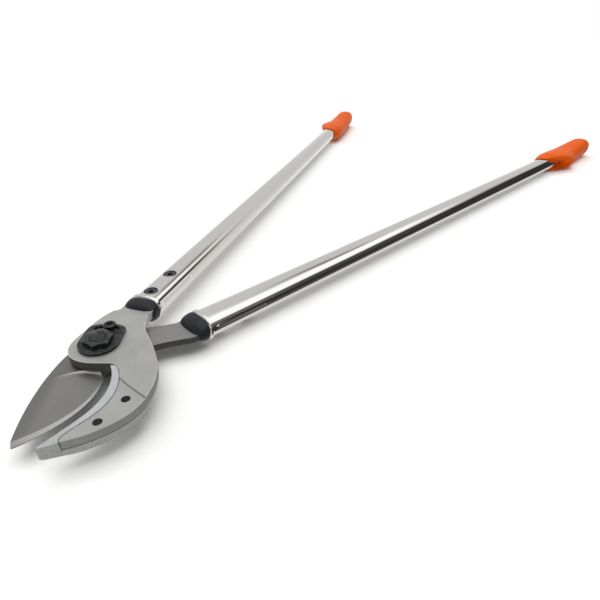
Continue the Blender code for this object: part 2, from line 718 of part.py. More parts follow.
def make_tube(name, handle, look, lever):
    """An oval tube with a groove crimped into each flank, and two holes for the screws in one face."""
    start, end = handle.collar + SEAT, handle.tube_end
    lip = [tube_ring(handle, start + back, out) for back, out in TUBE_LIP]
    body = loft(name, [*lip, tube_ring(handle, end)], handle)
    wall = -TUBE_WALL
    bore = loft(name + "_bore", [
        tube_ring(handle, start - 0.001, wall), tube_ring(handle, end + 0.001, wall)
    ], handle)
    cut(body, bore)
    first = handle.collar + CRIMP_START + CRIMP_RADIUS
    last = first + CRIMP_LENGTH - 2 * CRIMP_RADIUS
    share = handle.share((first + last) / 2)
    surface, normal = flank(TUBE_W / 2 * share, TUBE_H / 2 * share, handle.crimp_lift)
    centre = surface + normal * (CRIMP_RADIUS - CRIMP_DEPTH)
    for side in (-1, 1):
        rod = capsule(f"{name}_crimp_{side + 1}", CRIMP_RADIUS, first, last, (side * centre.x, centre.y), handle)
        cut(body, rod)
    up = -handle.side
    for i, place in enumerate(TANG_SCREWS):
        where = (0, handle.collar + place)
        radius = TANG_SCREW_HEAD_D / 2 + BORE_PLAY
        reach = (0.0, up * 0.03)
        hole = turned(f"{name}_hole_{i}", [(radius, min(reach)), (radius, max(reach))], where, handle, 32)
        cut(body, hole)
    return finish(body, look, lever)


def make_collar(name, handle, tang_low, tang_high, look, lever):
    """A moulded plug: a rounded nose round the tang, a lip on the tube's end and a sleeve inside."""
    wide = TUBE_W / 2 + COLLAR_SIDE_LIP
    tall = TUBE_H / 2 + COLLAR_TOP_LIP
    reach = COLLAR_NOSE - COLLAR_FLAT
    rings = []
    for share in (0.985, 0.95, 0.88, 0.77, 0.62, 0.44, 0.24, 0.0):
        half_w = wide * (1 - share ** COLLAR_SQUARENESS) ** (1 / COLLAR_SQUARENESS)
        half_h = tall * (1 - share ** 2) ** 0.5
        rings.append(oval(half_w, half_h, handle.collar - COLLAR_FLAT - reach * share))
    rings.append(oval(wide, tall, handle.collar - 0.0004))
    rings.append(oval(wide - 0.0004, tall - 0.0004, handle.collar))
    inner = TUBE_WALL + SEAT
    rings.append(tube_ring(handle, handle.collar + 0.00001, -inner))
    rings.append(tube_ring(handle, handle.collar + COLLAR_SLEEVE, -inner))
    body = loft(name, rings, handle)
    low = tang_low - handle.height - SEAT
    high = tang_high - handle.height + SEAT
    shoulder = handle.nose + TANG_SHOULDER + SEAT
    for part, half, first, last in (
        ("front", TANG_W / 2 + SEAT, handle.nose - 0.01, shoulder),
        ("back", TANG_NARROW_W / 2 + SEAT, shoulder - 0.001, handle.collar + COLLAR_SLEEVE + 0.01),
    ):
        box = [(-half, first), (half, first), (half, last), (-half, last)]
        cut(body, prism(f"{name}_slot_{part}", box, low, high, handle))
    up = -handle.side
    for i, place in enumerate(TANG_SCREWS):
        where = (0, handle.collar + place)
        radius = TANG_SCREW_HEAD_D / 2 + BORE_PLAY
        reach = (0.0, up * 0.03)
        hole = turned(f"{name}_hole_{i}", [(radius, min(reach)), (radius, max(reach))], where, handle, 32)
        cut(body, hole)
    return finish(body, look, lever)


def make_tang_screw(name, handle, place, tang_face, look, lever):
    """A socket screw through the tube's wall, down to its head on the tang."""
    up = -handle.side
    face = tang_face - handle.height + up * SEAT
    head = TANG_SCREW_HEAD_D / 2
    shank = TANG_SCREW_D / 2
    top = up * (TUBE_H / 2 * handle.share(handle.collar + place) - 0.0006)
    other = face - up * 0.0050
    where = (0, handle.collar + place)
    body = turned(name, [
        (shank, other),
        (shank, face - up * 0.00001),
        (head, face),
        (head, top - up * 0.0006),
        (head - 0.0006, top),
    ], where, handle, 32)
    low, high = sorted((top - up * 0.0026, top + up * 0.0010))
    cut(body, hexagon(f"{name}_socket", TANG_SCREW_HEX, low, high, where, 0, handle))
    return finish(body, look, lever)


def make_grip(name, handle, look, lever):
    """A moulded sleeve over the tube's end. Its front edge sweeps back round the outer flank, behind
    it a raised rim stops the hand, and a waist leads to a bulb."""
    side = handle.side
    start = handle.end - GRIP_LENGTH
    middle = math.pi * (1 - side) / 2
    lean = math.radians(GRIP_SCALLOP_TURN)
    sweep = []
    for i in range(ROUND):
        angle = 2 * math.pi * i / ROUND - middle
        sweep.append(((1 + math.cos(angle + side * lean)) / 2) ** GRIP_SCALLOP_POWER)

    def sleeve_ring(at, back, wall):
        """A ring this far off the tube's surface."""
        ring = []
        for i, share in enumerate(sweep):
            along = start + at + back * share
            ring.append(tube_ring(handle, along, wall)[i])
        return ring

    def outer_ring(at, back, width, height, squareness, out, up):
        ring = []
        for (x, _, z), share in zip(oval(width / 2, height / 2, 0, squareness), sweep):
            ring.append((x + side * out, start + at + back * share, z + up))
        return ring

    share = handle.share(start + GRIP_SCALLOP / 2)
    wall = SEAT + GRIP_LIP
    round_off = GRIP_SQUARENESS
    drop = LEFT_GRIP_DROP if handle is LEFT else 0
    front = (0, GRIP_SCALLOP, TUBE_W * share + 2 * wall, TUBE_H * share + 2 * wall, SQUARENESS, 0, 0)
    rim = (GRIP_RIM_AT, GRIP_RIM_BACK, GRIP_RIM_W, GRIP_RIM_H, round_off, GRIP_RIM_OUT, GRIP_RIM_UP - drop)
    waist = (GRIP_WAIST_AT, 0, GRIP_WAIST_W, GRIP_WAIST_H, round_off, 0, GRIP_WAIST_UP - drop)
    bulb = (GRIP_BULB_AT, 0, GRIP_BULB_W, GRIP_BULB_H, round_off, 0, GRIP_BULB_UP - drop)
    rings = [
        tube_ring(handle, handle.tube_end + SEAT, SEAT),
        sleeve_ring(0, GRIP_SCALLOP, SEAT),
        sleeve_ring(0, GRIP_SCALLOP, wall),
    ]
    for first, last, steps, steep in ((front, rim, 6, True), (rim, waist, 6, False), (waist, bulb, 6, False)):
        for i in range(1, steps + 1):
            t = i / steps
            blend = math.sin(math.pi * t / 2) if steep else (1 - math.cos(math.pi * t)) / 2
            place = [a + (b - a) * t for a, b in zip(first[:2], last[:2])]
            size = [a + (b - a) * blend for a, b in zip(first[2:], last[2:])]
            rings.append(outer_ring(*place, *size))
    dome = GRIP_LENGTH - GRIP_BULB_AT
    for swing in (22, 42, 58, 71, 81, 87):
        turn = math.radians(swing)
        size = math.cos(turn) ** 0.9
        place = (GRIP_BULB_AT + dome * math.sin(turn), 0)
        rings.append(outer_ring(*place, GRIP_BULB_W * size, GRIP_BULB_H * size, *bulb[4:]))
    return finish(loft(name, rings, handle), look, lever, 50)


def main():
    clear_scene()
    anvil_lever = bpy.data.objects.new("anvil_lever", None)
    blade_lever = bpy.data.objects.new("blade_lever", None)
    for empty in (anvil_lever, blade_lever):
        bpy.context.scene.collection.objects.link(empty)

    blasted = material("blasted_alloy", (0.40, 0.40, 0.38), 0.45, 0.9)
    cast = material("cast_steel", (0.46, 0.50, 0.52), 0.35, 0.9)
    satin = material("satin_steel", (0.22, 0.22, 0.21), 0.35, 1.0)
    hard = material("hard_steel", (0.35, 0.35, 0.35), 0.30, 1.0)
    black = material("black_oxide", (0.03, 0.033, 0.035), 0.40, 0.6)
    polished = material("polished_aluminium", (0.80, 0.80, 0.79), 0.08, 1.0)
    plastic = material("black_plastic", (0.018, 0.020, 0.026), 0.45, 0.0)
    rubber = material("orange_rubber", (0.80, 0.13, 0.01), 0.50, 0.0)

    make_carrier(blasted, anvil_lever)
    make_anvil(cast, anvil_lever)
    for i, place in enumerate(ANVIL_SCREWS):
        make_anvil_screw(i + 1, place, black, anvil_lever)
    make_pivot_bolt(black, anvil_lever)
    make_pivot_bush(hard, anvil_lever)
    make_thrust_washer(hard, anvil_lever)
    make_lock_plate(black, anvil_lever)
    make_pivot_nut(black, anvil_lever)
    make_lock_screw(black, anvil_lever)
    make_blade(satin, blade_lever)
    for side, handle, lever, low, high in (
        ("left", LEFT, anvil_lever, CARRIER_Z0, CARRIER_Z1 - TANG_STEP),
        ("right", RIGHT, blade_lever, BLADE_Z0, BLADE_Z1),
    ):
        make_tube(f"{side}_tube", handle, polished, lever)
        make_collar(f"{side}_collar", handle, low, high, plastic, lever)
        make_grip(f"{side}_grip", handle, rubber, lever)
        face = high if handle is LEFT else low
        for i, place in enumerate(TANG_SCREWS):
            make_tang_screw(f"{side}_tang_screw_{i + 1}", handle, place, face, black, lever)


main()
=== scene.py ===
# %% [markdown]
# # A long-handled lopper
#
# This lesson dresses a lopper: a satin blade that cuts against a pale cast anvil, a blasted alloy
# carrier with a black pivot, two long polished tubes and two orange grips. The solids and their
# hinge come ready made, so what is left is how each surface looks, the studio round it and the
# camera. Every cell makes one thing and prints what it made.

import math

import bpy
from mathutils import Matrix, Vector


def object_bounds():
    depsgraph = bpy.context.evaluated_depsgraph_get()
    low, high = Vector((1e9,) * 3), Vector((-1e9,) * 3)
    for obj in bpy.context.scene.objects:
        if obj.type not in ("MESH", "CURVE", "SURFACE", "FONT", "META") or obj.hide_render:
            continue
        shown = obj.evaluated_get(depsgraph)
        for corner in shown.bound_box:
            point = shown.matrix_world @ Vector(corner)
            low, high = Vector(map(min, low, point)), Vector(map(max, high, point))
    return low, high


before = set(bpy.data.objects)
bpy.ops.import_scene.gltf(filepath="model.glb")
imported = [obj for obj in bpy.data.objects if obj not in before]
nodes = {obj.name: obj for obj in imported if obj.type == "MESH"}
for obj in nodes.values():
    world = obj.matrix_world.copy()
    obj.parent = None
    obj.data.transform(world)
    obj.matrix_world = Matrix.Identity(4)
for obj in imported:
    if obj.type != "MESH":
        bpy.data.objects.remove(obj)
cad_box = [list(corner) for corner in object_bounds()]
for name in ("Camera", "Light", "Cube"):
    if name in bpy.data.objects:
        bpy.data.objects.remove(bpy.data.objects[name])
print("solids:", len(nodes), "box in mm:", [round(1000 * (b - a), 1) for a, b in zip(*cad_box)])

# %% [markdown]
# ## A way to write finishes as sums
#
# A finish is a network of shader nodes. Drawn by hand it is easy to read, but in a script it turns
# into dozens of lines that only make and join nodes. So one small class wraps a node's output, and
# Python's own operators on it add the Math nodes: `1 - wear * 0.5` is then a real piece of the
# network. Colours don't go through Math nodes, which would turn them grey, but through Mix.
#
# Most finishes here are built from masks, which are 1 where something shows and 0 where it
# doesn't. A `step` gives one soft edge of a mask and a `band` gives two.

# %% A socket that can be added and multiplied
class Wire:
    """One output of a shader node."""

    def __init__(self, finish, socket):
        self.finish = finish
        self.socket = socket

    def maths(self, operation, *values):
        """A Math node, with these values in its inputs."""
        return self.finish.node("Math", {"operation": operation}, dict(enumerate(values)))

    def __add__(self, other):
        return self.maths("ADD", self, other)

    def __radd__(self, other):
        return self.maths("ADD", other, self)

    def __sub__(self, other):
        return self.maths("SUBTRACT", self, other)

    def __rsub__(self, other):
        return self.maths("SUBTRACT", other, self)

    def __neg__(self):
        return 0 - self

    def __mul__(self, other):
        return self.maths("MULTIPLY", self, other)

    def __rmul__(self, other):
        return self.maths("MULTIPLY", other, self)

    def __abs__(self):
        return self.maths("ABSOLUTE", self)

    def step(self, low, high, to_low=0.0, to_high=1.0):
        """0 under low, 1 over high, and a soft rise in between."""
        ends = {"From Min": low, "From Max": high, "To Min": to_low, "To Max": to_high}
        settings = {"interpolation_type": "SMOOTHSTEP"}
        return self.finish.node("MapRange", settings, {"Value": self, **ends})

    def band(self, rise, fall):
        """1 between two soft edges, each given by where it starts and where it ends."""
        return self.step(*rise) * (1 - self.step(*fall))

    def part(self, axis):
        """The X, Y or Z of a vector."""
        return self.finish.node("SeparateXYZ", {}, {"Vector": self}, axis)


# %% A network with one method that makes any node
class Finish:
    """The network of one material, or of the world."""

    def __init__(self, owner):
        self.owner = owner
        owner.use_nodes = True
        self.tree = owner.node_tree
        self.tree.nodes.clear()

    def node(self, kind, settings=None, inputs=None, output=0):
        made = self.tree.nodes.new("ShaderNode" + kind)
        for key, value in (settings or {}).items():
            setattr(made, key, value)
        for key, value in (inputs or {}).items():
            self.feed(made.inputs[key], value)
        return Wire(self, made.outputs[output]) if made.outputs else None

    def feed(self, socket, value):
        if isinstance(value, Wire):
            self.tree.links.new(value.socket, socket)
        elif socket.type == "RGBA" and len(value) == 3:
            socket.default_value = (*value, 1)
        else:
            socket.default_value = value

    def blend(self, share, first, second):
        """The first colour where share is 0, the second where it is 1."""
        # A Mix node has a set of inputs for each kind of data, and its colours are 6 and 7.
        inputs = {0: share, 6: first, 7: second}
        return self.node("Mix", {"data_type": "RGBA"}, inputs, 2)

    def place(self):
        """Where a point lies on the solids, in metres. It moves with the piece."""
        return self.node("TexCoord", {}, {}, "Object")

    def facing(self):
        """The way a face points. Its Z is 1 on a level top and 0 on a wall."""
        return self.node("NewGeometry", {}, {}, "True Normal")

    def cloud(self, size, detail=3.0, roughness=0.6, stretch=(1, 1, 1)):
        """Noise from 0 to 1, with spots about this many metres across."""
        where = self.node("Mapping", {}, {"Vector": self.place(), "Scale": stretch})
        inputs = {"Vector": where, "Scale": 1 / size, "Detail": detail, "Roughness": roughness}
        return self.node("TexNoise", {}, inputs)

    def bumps(self, height, depth):
        """A normal that follows a height from 0 to 1 over this many metres."""
        return self.node("Bump", {}, {"Height": height, "Distance": depth, "Strength": 1.0})

    def surface(self, **sockets):
        inputs = {key.replace("_", " "): value for key, value in sockets.items()}
        shader = self.node("BsdfPrincipled", {}, inputs)
        self.node("OutputMaterial", {}, {"Surface": shader})
        return self.owner


def new_finish(name):
    return Finish(bpy.data.materials.new(name))


def shade(colour, share):
    """The same colour, darker or brighter."""
    return tuple(channel * share for channel in colour)


print("helpers ready")

# %% [markdown]
# ## Blasted alloy
#
# The carrier is a pressed plate that has been blasted with fine grit. It is light and warm grey,
# nearly even, with a grain of about a third of a millimetre that only shows as a soft sparkle. A
# noise at two sizes gives that: a large one shifts the colour by a few hundredths, as handling
# does, and a small one feeds both the roughness and a shallow bump.
#
# Three places differ, and each is found by how a face leans and where it lies. Chamfers face
# halfway up. They are machined and smoother than the rest, and their colour is also painted
# brighter as a highlight. The little ramp between hub and jaw leans too; it lies in shade, and that
# shade is painted into its colour as a dark line. The walls just beside the blade lie in the
# blade's shade, and that shade is painted into their colour as a dark tone.

# %% The carrier's finish
CHAMFER_LEAN = (0.30, 0.55), (0.93, 0.98)  # how far up a chamfer faces
RAMP_X = (0.028, 0.032)  # the ramp lies past this, in metres
RAMP_Z = (0.0217, 0.0219)  # and over this
WALL_SHADE_X = (0.022, 0.028)  # the painted shade on the walls by the blade reaches this far to the side
WALL_SHADE_Y = (0.000, 0.005)  # and this far towards the handles
# the tone of the painted shade on the walls beside the blade
WALL_SHADE_TONE = (0.17, 0.16, 0.145)


def blasted_alloy(name, colour, metal=0.75, tone=0.06):
    made = new_finish(name)
    patches = made.cloud(0.018, 2.0)
    pits = made.cloud(0.00035, 2.0, 0.7)
    tint = made.blend(patches.step(0.35, 0.65), shade(colour, 1 - tone), shade(colour, 1 + tone))
    tint = made.blend(pits.step(0.3, 0.7) * 0.35, tint, shade(colour, 0.82))
    facing = made.facing()
    spot = made.place()
    chamfer = facing.part("Z").band(*CHAMFER_LEAN)
    # The chamfers are machined, and their colour is also painted brighter here, as a highlight.
    tint = made.blend(chamfer, tint, shade(colour, 1.45))
    # Painted shade: the ramp between hub and jaw lies in shade, so its colour is painted dark.
    ramp_shade = chamfer * (-facing.part("Y")).step(0.50, 0.65)
    ramp_shade = ramp_shade * spot.part("X").step(*RAMP_X) * spot.part("Z").step(*RAMP_Z)
    tint = made.blend(ramp_shade, tint, shade(colour, 0.45))
    wall = 1 - facing.part("Z").step(0.1, 0.3)
    # Painted shade: the walls just beside the blade are darkened as if in the blade's shade.
    wall_shade = wall * (1 - spot.part("X").step(*WALL_SHADE_X)) * (1 - spot.part("Y").step(*WALL_SHADE_Y))
    tint = made.blend(wall_shade, tint, WALL_SHADE_TONE)
    return made.surface(
        Base_Color=tint,
        Metallic=metal - chamfer * 0.35 * metal,
        Roughness=0.46 + pits * 0.12 - chamfer * 0.20,
        Normal=made.bumps(pits, 0.00002),
    )


carrier_finish = blasted_alloy("blasted_alloy_finish", (0.55, 0.55, 0.53))
# The bevel faces: machined, and painted brighter as a highlight through the chamfer mask.
carrier_edge = blasted_alloy("blasted_alloy_edge", (0.60, 0.60, 0.58), metal=0.2, tone=0.03)
print("made", carrier_finish.name, "and", carrier_edge.name)

# %% [markdown]
# ## Cast steel
#
# The anvil is cast and then bright plated, so it is paler and a little blue. Its working face is
# smooth, and its outer walls keep the rough skin of the mould. The two are told apart by the way a
# surface faces: where the normal points up the skin is smooth, and where it is a wall it is rough.
#
# Use has left its marks as well. Near the tip, where twigs scrape past, the plating of the top is
# mottled. The wall that faces the blade lies in the blade's shade, and that shade is painted into
# its colour as a dark tone that gets darker towards the pivot.

# %% The anvil's finish
SCRAPED_Y = (-0.066, -0.048)  # the mottled tip ends here, in metres
SHADOW_DEEPENS_Y = (-0.040, -0.012)  # the painted shade on the wall by the blade deepens along this
SCRAPED = (0.50, 0.50, 0.49)
MOULD_SKIN = (0.57, 0.57, 0.56)
# the tones of the painted shade on the wall that faces the blade
SHADOW_TONE = (0.22, 0.215, 0.21)
DEEP_SHADOW_TONE = (0.05, 0.048, 0.045)


def cast_steel(name, colour, dark):
    made = new_finish(name)
    facing = made.facing()
    along = made.place().part("Y")
    skin = made.cloud(0.0011, 4.0, 0.65)
    patches = made.cloud(0.006, 3.0)
    wall = 1 - facing.part("Z").step(0.55, 0.9)
    blade_shadow = wall * (-facing.part("X")).step(0.5, 0.8) * facing.part("Y").step(-0.3, 0.0)
    scraped = (1 - wall) * (1 - along.step(*SCRAPED_Y)) * skin.step(0.3, 0.6)
    tint = made.blend(patches.step(0.3, 0.7) * 0.3, colour, shade(colour, 0.86))
    tint = made.blend(wall, tint, MOULD_SKIN)
    tint = made.blend(wall * skin.step(0.35, 0.7) * 0.6, tint, dark)
    tint = made.blend(scraped * 0.7, tint, SCRAPED)
    # Painted shade on the wall that faces the blade, darker towards the pivot.
    tint = made.blend(blade_shadow, tint, made.blend(along.step(*SHADOW_DEEPENS_Y), SHADOW_TONE, DEEP_SHADOW_TONE))
    return made.surface(
        Base_Color=tint,
        Metallic=0.7 - wall * 0.4,
        Roughness=0.36 + wall * 0.2,
        Normal=made.bumps(skin * (0.06 + wall), 0.00022),
    )


anvil_finish = cast_steel("cast_steel_finish", (0.66, 0.70, 0.72), (0.34, 0.35, 0.35))
print("made", anvil_finish.name)

# %% [markdown]
# ## Satin steel
#
# The blade's flat is ground in one direction, which leaves lines too fine to see one by one. They
# show as a soft streak in the gloss. The noise is stretched along the blade for that. The narrow
# cutting bevel is honed, and its colour is also painted brighter as a highlight. It is found by its
# slope: it is the only part of the top that leans by more than a few degrees.
#
# The blade is stepped: the cutting half is ground a little lower than the crescent round the hub.
# That upper land keeps a darker skin, and the arm that runs into the tube is paler. The walls lie
# in shade, and that shade is painted into their colour at half the brightness.

# %% The blade's finish
ARM_Y = (0.004, 0.012)  # the arm starts here, in metres
LAND_Z = (0.0150, 0.0154)  # the land round the hub lies over this
HONED_HIGHLIGHT_LEAN = (0.30, 0.62), (0.962, 0.990)  # how far up the cutting bevel faces


def satin_steel(name, colour, bright):
    made = new_finish(name)
    up = made.facing().part("Z")
    spot = made.place()
    lines = made.cloud(0.0006, 3.0, 0.7, stretch=(1.0, 0.05, 1.0))
    patches = made.cloud(0.022, 2.0)
    arm = spot.part("Y").step(*ARM_Y)
    land = spot.part("Z").step(*LAND_Z) * (1 - arm)
    tint = made.blend(patches.step(0.3, 0.7) * 0.5, colour, shade(colour, 0.88))
    tint = made.blend(lines.step(0.3, 0.7) * 0.25, tint, shade(colour, 1.25))
    tint = made.blend(land, tint, shade(colour, 0.80))
    tint = made.blend(arm * 0.8, tint, shade(colour, 1.24))
    # The honed bevel, with its colour painted brighter as a highlight.
    tint = made.blend(up.band(*HONED_HIGHLIGHT_LEAN), tint, bright)
    # Painted shade: the walls are made half as bright.
    tint = made.blend(1 - up.step(0.15, 0.30), tint, shade(colour, 0.5))
    return made.surface(
        Base_Color=tint,
        Metallic=0.9,
        Roughness=0.34 + lines * 0.10,
        Normal=made.bumps(lines, 0.000008),
    )


blade_finish = satin_steel("satin_steel_finish", (0.31, 0.31, 0.30), (0.47, 0.465, 0.45))
hard_finish = satin_steel("hard_steel_finish", (0.45, 0.45, 0.44), (0.60, 0.60, 0.60))
print("made", blade_finish.name, "and", hard_finish.name)

# %% [markdown]
# ## Blackened steel
#
# The pivot's nut, bolt and plate are blackened steel: nearly black, a little glossy, and worn to
# grey where a spanner touches. One recipe makes them all, with its own pair of colours for each
# part: the fresh colour, and the one that patches of wear bring out. Two more pairs serve for the
# narrow bevels only. They are lighter, partly because a black part shows bare metal at its rim
# first, and partly as painted glints along the rims. The tang screws are dark zinc.

# %% The blackened finishes
def black_oxide(name, fresh, worn, roughness, metal=0.55):
    made = new_finish(name)
    patches = made.cloud(0.004, 4.0)
    grit = made.cloud(0.0004, 2.0)
    return made.surface(
        Base_Color=made.blend(patches.step(0.42, 0.66) * 0.8, fresh, worn),
        Metallic=metal,
        Roughness=roughness + grit * 0.12,
        Normal=made.bumps(grit, 0.000012),
    )


oxide_finish = black_oxide(
    "black_oxide_finish", (0.010, 0.011, 0.012), (0.034, 0.036, 0.038), roughness=0.20
)
nut_finish = black_oxide(
    "black_nut_finish", (0.062, 0.064, 0.066), (0.11, 0.114, 0.116), roughness=0.13, metal=0.92
)
plate_finish = black_oxide(
    "lock_plate_finish", (0.018, 0.020, 0.021), (0.066, 0.071, 0.073), roughness=0.32
)
zinc_finish = black_oxide(
    "dark_zinc_finish", (0.050, 0.053, 0.056), (0.11, 0.115, 0.12), roughness=0.16
)
# The bevels' colours: bare metal worn at the rims, and painted glints along them.
rim_wear_and_glint = black_oxide(
    "rim_wear_and_glint_finish", (0.36, 0.37, 0.37), (0.50, 0.51, 0.51), roughness=0.28, metal=0.3
)
edge_wear_and_glint = black_oxide(
    "edge_wear_and_glint_finish", (0.12, 0.123, 0.125), (0.19, 0.194, 0.197), roughness=0.16, metal=0.8
)
for made in (oxide_finish, nut_finish, plate_finish, zinc_finish, rim_wear_and_glint, edge_wear_and_glint):
    print("made", made.name)

# %% [markdown]
# ## Black plastic and orange rubber
#
# The collars are moulded nylon with a fine texture. The grips are a bright orange rubber. It has
# almost no mirror shine, or the white room would wash its colour out to pink along the edges. How
# much a surface mirrors is the same all over, so it is set on the shader's own socket.

# %% The moulded finishes
def moulded(name, colour, light, shine, roughness, grain, depth):
    made = new_finish(name)
    patches = made.cloud(0.012, 2.0)
    texture = made.cloud(grain, 2.0)
    return made.surface(
        Base_Color=made.blend(patches.step(0.3, 0.7), colour, light),
        Metallic=0.0,
        Roughness=roughness + texture * 0.12,
        Specular_IOR_Level=shine,
        Normal=made.bumps(texture, depth),
    )


plastic_finish = moulded(
    "black_plastic_finish", (0.011, 0.012, 0.018), (0.015, 0.016, 0.023),
    shine=0.42, roughness=0.36, grain=0.0005, depth=0.00001,
)
rubber_finish = moulded(
    "orange_rubber_finish", (0.80, 0.106, 0.0005), (0.87, 0.128, 0.001),
    shine=0.04, roughness=0.30, grain=0.0006, depth=0.000012,
)
print("made", plastic_finish.name, "and", rubber_finish.name)

# %% [markdown]
# ## Polished aluminium
#
# The tubes are drawn and then polished to a mirror, so their own colour is hardly seen. What shows
# is the studio: a white ceiling, a dark card on the right and a bright corner low on the left. The
# finish itself has only faint draw lines along the tube and a slight cloud in the gloss where it
# was handled.

# %% The tubes' finish
def polished_aluminium(name, colour):
    made = new_finish(name)
    lines = made.cloud(0.0012, 2.0, stretch=(1.0, 0.02, 1.0))
    haze = made.cloud(0.03, 3.0)
    return made.surface(
        Base_Color=made.blend(haze.step(0.3, 0.7) * 0.4, colour, shade(colour, 0.96)),
        Metallic=1.0,
        Roughness=0.05 + haze * 0.05,
        Normal=made.bumps(lines, 0.000004),
    )


tube_finish = polished_aluminium("polished_aluminium_finish", (0.88, 0.875, 0.86))
print("made", tube_finish.name)

# %% [markdown]
# ## Real edges
#
# No real edge is perfectly sharp: the carrier has a narrow machined chamfer that shines, and every
# screw is broken at its rim. The solids have sharp edges, so each gets a chain of modifiers, which
# leave the solid itself alone. One node group joins the points and marks which edges stay sharp,
# a Decimate merges the triangles of each flat face, and a Bevel then rounds the sharp edges. The
# Bevel can give its new faces a finish of their own. On the carrier that finish paints the
# chamfer's bright line, a highlight, into the colour.
# How large an angle still counts as smooth depends on the part. The plates take 32 degrees. Tubes,
# collars and grips are round all over, so they take 55. The blade takes 9, or the shallow slope of
# its cutting edge would melt into the flat.

# %% A node group that shades round walls smooth and keeps corners sharp
CORNER = 32  # degrees from which an edge of a plate stays sharp


def smooth_group(name, corner):
    """Keeps the edges sharp that turn by more than this many degrees, and the marked ones."""
    group = bpy.data.node_groups.new(name, "GeometryNodeTree")
    group.interface.new_socket("Geometry", in_out="INPUT", socket_type="NodeSocketGeometry")
    group.interface.new_socket("Geometry", in_out="OUTPUT", socket_type="NodeSocketGeometry")
    source = group.nodes.new("NodeGroupInput")
    merge = group.nodes.new("GeometryNodeMergeByDistance")
    merge.inputs["Distance"].default_value = 1e-6
    faces = group.nodes.new("GeometryNodeSetShadeSmooth")
    edges = group.nodes.new("GeometryNodeSetShadeSmooth")
    edges.domain = "EDGE"
    edges.inputs["Shade Smooth"].default_value = False
    result = group.nodes.new("NodeGroupOutput")
    angle = group.nodes.new("GeometryNodeInputMeshEdgeAngle")
    over = group.nodes.new("FunctionNodeCompare")
    over.data_type = "FLOAT"
    over.operation = "GREATER_THAN"
    over.inputs["B"].default_value = math.radians(corner)
    marked = group.nodes.new("GeometryNodeInputNamedAttribute")
    marked.data_type = "BOOLEAN"
    marked.inputs["Name"].default_value = "keep_sharp"
    either = group.nodes.new("FunctionNodeBooleanMath")
    either.operation = "OR"
    group.links.new(angle.outputs["Unsigned Angle"], over.inputs["A"])
    group.links.new(over.outputs[0], either.inputs[0])
    group.links.new(marked.outputs["Attribute"], either.inputs[1])
    group.links.new(either.outputs[0], edges.inputs["Selection"])
    for first, second in ((source, merge), (merge, faces), (faces, edges), (edges, result)):
        group.links.new(first.outputs[0], second.inputs[0])
    return group


PLATE_CORNERS = smooth_group("keep_corners", CORNER)
ROUND_CORNERS = smooth_group("keep_sharp_rims", 55)
BLADE_CORNERS = smooth_group("keep_shallow_steps", 9)
print("made", PLATE_CORNERS.name, ROUND_CORNERS.name, "and", BLADE_CORNERS.name)


# %% A chain of modifiers for each solid
def break_edges(solid, width, finish):
    """Merges the flat faces, and rounds the corners by this many metres."""
    flat = solid.modifiers.new("flat", "DECIMATE")
    flat.decimate_type = "DISSOLVE"
    flat.angle_limit = math.radians(0.4)
    broken = solid.modifiers.new("edges", "BEVEL")
    broken.width = width
    broken.segments = 2
    broken.limit_method = "ANGLE"
    broken.angle_limit = math.radians(CORNER)
    broken.harden_normals = True
    if finish is not None:
        solid.data.materials.append(finish)
        broken.material = len(solid.data.materials) - 1


def dress(name, finish, edge=0.0, edge_finish=None, corners=PLATE_CORNERS):
    """Gives a solid its finish, smooth walls and edges broken by this many metres."""
    solid = nodes[name]
    if "custom_normal" in solid.data.attributes:
        solid.data.attributes.remove(solid.data.attributes["custom_normal"])
    for slot in solid.material_slots:
        slot.material = finish
    solid.modifiers.new("join", "NODES").node_group = corners
    if edge:
        break_edges(solid, edge, edge_finish)


print("ready to dress", len(nodes), "solids")

# %% [markdown]
# ## The ends of the tubes' grooves
#
# The tubes need one thing more. A groove ends in a few small, tilted faces, and next to them lie
# triangles as long as the tube. Smooth shading would carry that tilt down the whole tube as a dark
# streak. So the points at the groove's end are marked, and the edges between them stay sharp.

# %% Mark the ends of the grooves
def keep_sharp(name, low, high):
    """Marks the points whose Y lies between these, so that edges between two of them stay sharp."""
    mesh = nodes[name].data
    marks = mesh.attributes.new("keep_sharp", "BOOLEAN", "POINT")
    for point, mark in zip(mesh.vertices, marks.data):
        mark.value = low < point.co.y < high
    print("marked", sum(mark.value for mark in marks.data), "points of", name)


keep_sharp("left_tube", 0.0990, 0.2)
keep_sharp("right_tube", 0.1115, 0.2)

# %% [markdown]
# ## Dressing the solids
#
# Now each solid gets its finish. The width of a broken edge follows the piece: 0.3 mm on the
# carrier, plate and nut, about half of that on the screws, and a tenth of a millimetre on the
# blade, whose edge has to look keen.

# %% Dress the solids
dress("carrier", carrier_finish, 0.00030, carrier_edge)
dress("anvil", anvil_finish, 0.00025)
dress("blade", blade_finish, 0.00010, corners=BLADE_CORNERS)
dress("lock_plate", plate_finish, 0.00030, rim_wear_and_glint)
dress("pivot_nut", nut_finish, 0.00030, edge_wear_and_glint)
dress("pivot_bolt", nut_finish, 0.00025, oxide_finish)
dress("lock_screw", oxide_finish, 0.00020, edge_wear_and_glint)
for number in (1, 2):
    dress(f"anvil_screw_{number}", oxide_finish, 0.00015)
    dress(f"left_tang_screw_{number}", zinc_finish, 0.00015)
    dress(f"right_tang_screw_{number}", zinc_finish, 0.00015)
for name in ("pivot_bush", "thrust_washer"):
    dress(name, hard_finish, 0.00015)
for side in ("left", "right"):
    dress(f"{side}_tube", tube_finish, corners=ROUND_CORNERS)
    dress(f"{side}_collar", plastic_finish, corners=ROUND_CORNERS)
    dress(f"{side}_grip", rubber_finish, corners=ROUND_CORNERS)
print("dressed", sum("join" in solid.modifiers for solid in nodes.values()), "solids")

